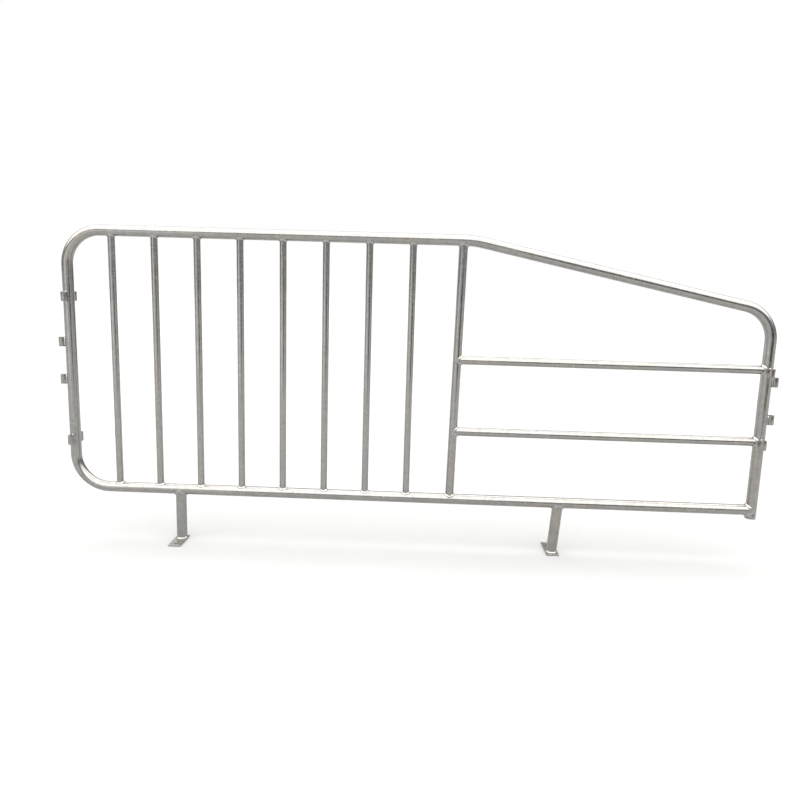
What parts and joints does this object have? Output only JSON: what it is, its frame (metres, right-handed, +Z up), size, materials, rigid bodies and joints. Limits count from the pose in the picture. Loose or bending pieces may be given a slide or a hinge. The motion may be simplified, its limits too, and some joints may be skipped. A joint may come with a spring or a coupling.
{
  "type": "sow stall side panel",
  "caption": "Galvanised tubular side panel for a pig stall: bent pipe frame, upright bars, side rails under a sloping top, anchored legs and pin sleeves.",
  "frame": {"origin": "on the floor, in the panel's mid-plane, midway between the axes of the head and tail uprights", "axes": "+X along the panel from the head end to the tail end, +Y through the panel away from the pictured side, +Z up"},
  "size_m": [2.2768, 0.154, 1.0109],
  "materials": {
    "frame_pipe": "hot-dip galvanised zinc, fine spangle, satin",
    "bar_tube": "hot-dip galvanised zinc, fine spangle, satin",
    "rail_tube": "hot-dip galvanised zinc, fine spangle, satin",
    "leg_pipe": "hot-dip galvanised zinc, fine spangle, satin",
    "foot_plate": "hot-dip galvanised zinc, fine spangle, satin",
    "pin_sleeve": "hot-dip galvanised zinc, fine spangle, satin"
  },
  "bodies": {
    "root": {"frame_pipe": "frame_pipe", "upright_bar_1": "bar_tube", "upright_bar_2": "bar_tube", "upright_bar_3": "bar_tube", "upright_bar_4": "bar_tube", "upright_bar_5": "bar_tube", "upright_bar_6": "bar_tube", "upright_bar_7": "bar_tube", "upright_bar_8": "bar_tube", "divider_post": "rail_tube", "lower_side_rail": "rail_tube", "upper_side_rail": "rail_tube", "head_leg": "leg_pipe", "tail_leg": "leg_pipe", "head_foot_plate": "foot_plate", "tail_foot_plate": "foot_plate", "head_high_sleeve_near": "pin_sleeve", "head_high_sleeve_far": "pin_sleeve", "head_low_sleeve_near": "pin_sleeve", "head_low_sleeve_far": "pin_sleeve", "head_outer_sleeve_upper": "pin_sleeve", "head_outer_sleeve_lower": "pin_sleeve", "tail_high_sleeve_near": "pin_sleeve", "tail_low_sleeve_near": "pin_sleeve", "tail_outer_sleeve_upper": "pin_sleeve", "tail_outer_sleeve_lower": "pin_sleeve"}
  },
  "joints": []
}
